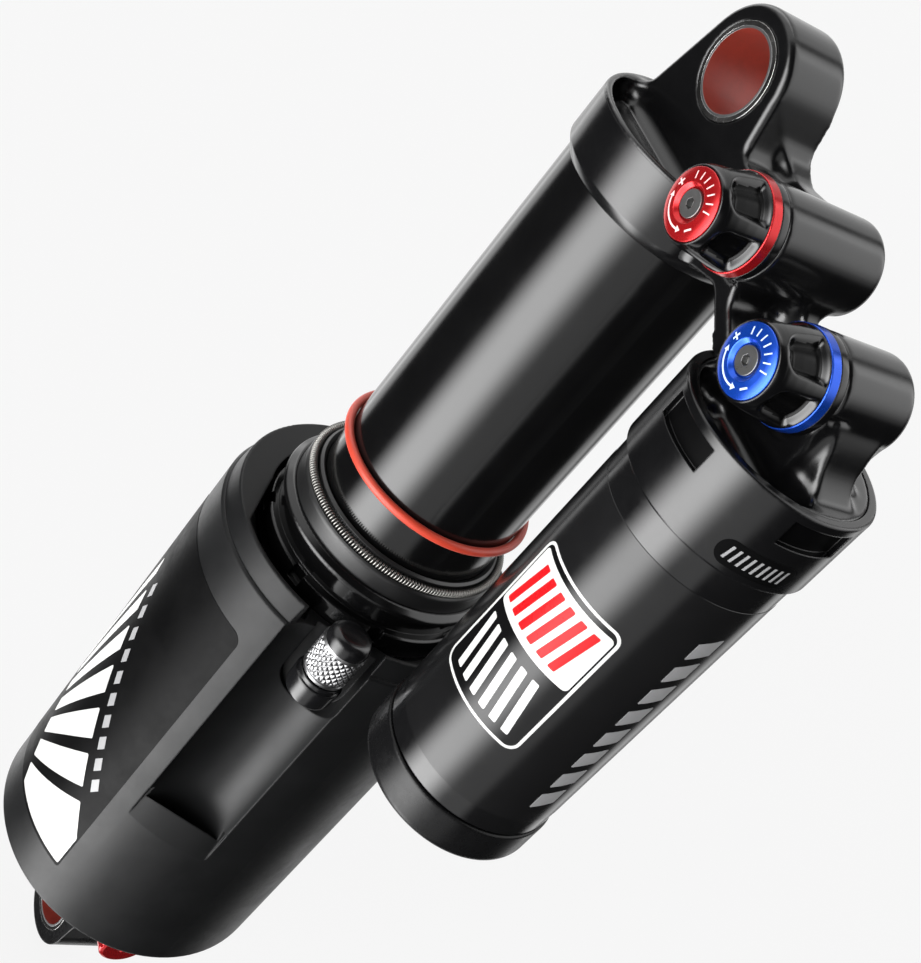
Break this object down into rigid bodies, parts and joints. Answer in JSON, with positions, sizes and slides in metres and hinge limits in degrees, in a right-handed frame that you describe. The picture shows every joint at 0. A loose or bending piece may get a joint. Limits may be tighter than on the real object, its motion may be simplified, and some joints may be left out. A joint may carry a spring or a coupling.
{
  "type": "bicycle rear shock",
  "caption": "Air-sprung bicycle rear shock absorber with a piggyback oil reservoir, eyelet ends, rebound and compression adjusters and a telescoping air can.",
  "frame": {"origin": "centre of the lower eyelet bore, which is the eyelet on the air can side, at the middle of its width", "axes": "+Z runs from the lower eyelet to the upper eyelet along the damper; +X points to the side the piggyback reservoir is on; Y is along both eyelet bores, and the two front adjuster knobs face -Y"},
  "size_m": [0.0918, 0.0572, 0.2426],
  "materials": {
    "head_black": "satin black anodised, cast and machined aluminium",
    "tube_black": "gloss black hard anodised aluminium",
    "can_black": "fine bead-blasted black anodised aluminium",
    "mount_black": "satin black anodised aluminium",
    "reservoir_grey": "dark grey satin anodised aluminium",
    "cap_black": "satin black anodised aluminium",
    "knob_black": "gloss black anodised aluminium",
    "anodised_red": "bright red anodised",
    "anodised_blue": "bright blue anodised",
    "raw_alloy": "turned aluminium",
    "steel_zinc": "bright steel",
    "shaft_chrome": "hard chromed shaft",
    "screw_steel": "plain steel",
    "spring_steel": "spring steel wire",
    "liner_maroon": "low friction polymer liner",
    "glide_plastic": "filled polymer glide band",
    "bronze": "sintered bronze lined bushing",
    "brass": "brass valve core",
    "seal_rubber": "nitrile rubber",
    "wiper_rubber": "black wiper rubber",
    "bumper_rubber": "polyurethane bumper",
    "marker_orange": "orange rubber marker ring",
    "valve_black": "black anodised aluminium",
    "valve_cap_silver": "diamond knurled aluminium"
  },
  "bodies": {
    "air_can_assembly": {"air_can": "can_black", "can_top_ring": "can_black", "air_can_sleeve": "raw_alloy", "sleeve_seat_oring": "seal_rubber", "seal_head": "tube_black", "seal_head_bushing": "bronze", "wiper_seal": "wiper_rubber", "garter_spring": "spring_steel", "lower_eyelet_mount": "mount_black", "lower_bushing_shell": "steel_zinc", "lower_bushing_liner": "liner_maroon", "damper_shaft": "shaft_chrome", "main_piston": "raw_alloy", "main_piston_band": "glide_plastic", "rebound_shims": "screw_steel", "compression_shims": "screw_steel", "piston_nut": "screw_steel", "bottom_out_bumper": "bumper_rubber", "valve_stem": "valve_black"},
    "damper_body": {"head_casting": "head_black", "upper_bushing_shell": "steel_zinc", "upper_bushing_liner": "liner_maroon", "damper_tube": "tube_black", "damper_tube_oring": "seal_rubber", "air_piston": "raw_alloy", "air_piston_seal": "seal_rubber", "air_piston_glide_band": "glide_plastic", "shaft_bushing": "bronze", "shaft_seal": "seal_rubber", "topout_bumper": "bumper_rubber", "reservoir_collar": "head_black", "reservoir_tube": "reservoir_grey", "reservoir_end_cap": "cap_black", "reservoir_cap_oring": "seal_rubber", "reservoir_fill_screw": "screw_steel", "base_valve": "raw_alloy", "base_valve_shims": "screw_steel", "base_valve_bolt": "screw_steel", "detent_balls": "screw_steel", "detent_springs": "spring_steel", "adjuster_bore_plugs": "head_black"},
    "sag_marker": {"sag_oring": "marker_orange"},
    "floating_piston": {"ifp_piston": "raw_alloy", "ifp_seal": "seal_rubber", "ifp_glide_band": "glide_plastic"},
    "rebound_adjuster": {"rebound_knob": "knob_black", "rebound_knob_ring": "anodised_red", "rebound_knob_disc": "anodised_red", "rebound_knob_screw": "screw_steel"},
    "rebound_metering_needle": {"rebound_needle": "screw_steel"},
    "compression_adjuster": {"compression_knob": "knob_black", "compression_knob_ring": "anodised_blue", "compression_knob_disc": "anodised_blue", "compression_knob_screw": "screw_steel"},
    "compression_metering_needle": {"compression_needle": "screw_steel"},
    "lower_adjuster": {"lower_rebound_knob": "anodised_red"},
    "shaft_metering_rod": {"metering_rod": "raw_alloy"},
    "air_valve_cap": {"valve_cap": "valve_cap_silver"},
    "air_valve_core": {"valve_core": "brass"}
  },
  "joints": [
    {"name": "shock_travel", "type": "slide", "parent": "air_can_assembly", "child": "damper_body", "axis": [0, 0, -1], "range_m": [0, 0.066]},
    {"name": "sag_marker_slide", "type": "slide", "parent": "damper_body", "child": "sag_marker", "axis": [0, 0, 1], "range_m": [0, 0.0588]},
    {"name": "floating_piston_slide", "type": "slide", "parent": "damper_body", "child": "floating_piston", "axis": [0, 0, -1], "range_m": [0, 0.0145]},
    {"name": "rebound_turn", "type": "hinge", "parent": "damper_body", "child": "rebound_adjuster", "pos_m": [0.0264, 0, 0.2132], "axis": [0, 1, 0], "range_deg": [-150, 150]},
    {"name": "rebound_needle_slide", "type": "slide", "parent": "damper_body", "child": "rebound_metering_needle", "axis": [0, 1, 0], "range_m": [-0.00031, 0.00031]},
    {"name": "compression_turn", "type": "hinge", "parent": "damper_body", "child": "compression_adjuster", "pos_m": [0.0472, 0, 0.2065], "axis": [0, 1, 0], "range_deg": [-150, 150]},
    {"name": "compression_needle_slide", "type": "slide", "parent": "damper_body", "child": "compression_metering_needle", "axis": [0, 1, 0], "range_m": [-0.00031, 0.00031]},
    {"name": "lower_rebound_turn", "type": "hinge", "parent": "air_can_assembly", "child": "lower_adjuster", "pos_m": [0, 0, 0.0132], "axis": [1, 0, 0], "range_deg": [0, 290]},
    {"name": "metering_rod_slide", "type": "slide", "parent": "air_can_assembly", "child": "shaft_metering_rod", "axis": [0, 0, 1], "range_m": [0, 0.0008]},
    {"name": "valve_cap_off", "type": "slide", "parent": "air_can_assembly", "child": "air_valve_cap", "axis": [0, 0, 1], "range_m": [0, 0.012]},
    {"name": "valve_core_press", "type": "slide", "parent": "air_can_assembly", "child": "air_valve_core", "axis": [0, 0, -1], "range_m": [0, 0.001]}
  ],
  "couplings": [
    {"joint": "sag_marker_slide", "follows": "shock_travel", "ratio": 0.888},
    {"joint": "floating_piston_slide", "follows": "shock_travel", "ratio": 0.218},
    {"joint": "rebound_turn", "follows": "rebound_needle_slide", "rad_per_m": 8377.6},
    {"joint": "compression_turn", "follows": "compression_needle_slide", "rad_per_m": 8377.6},
    {"joint": "lower_rebound_turn", "follows": "metering_rod_slide", "rad_per_m": 6283.2}
  ]
}
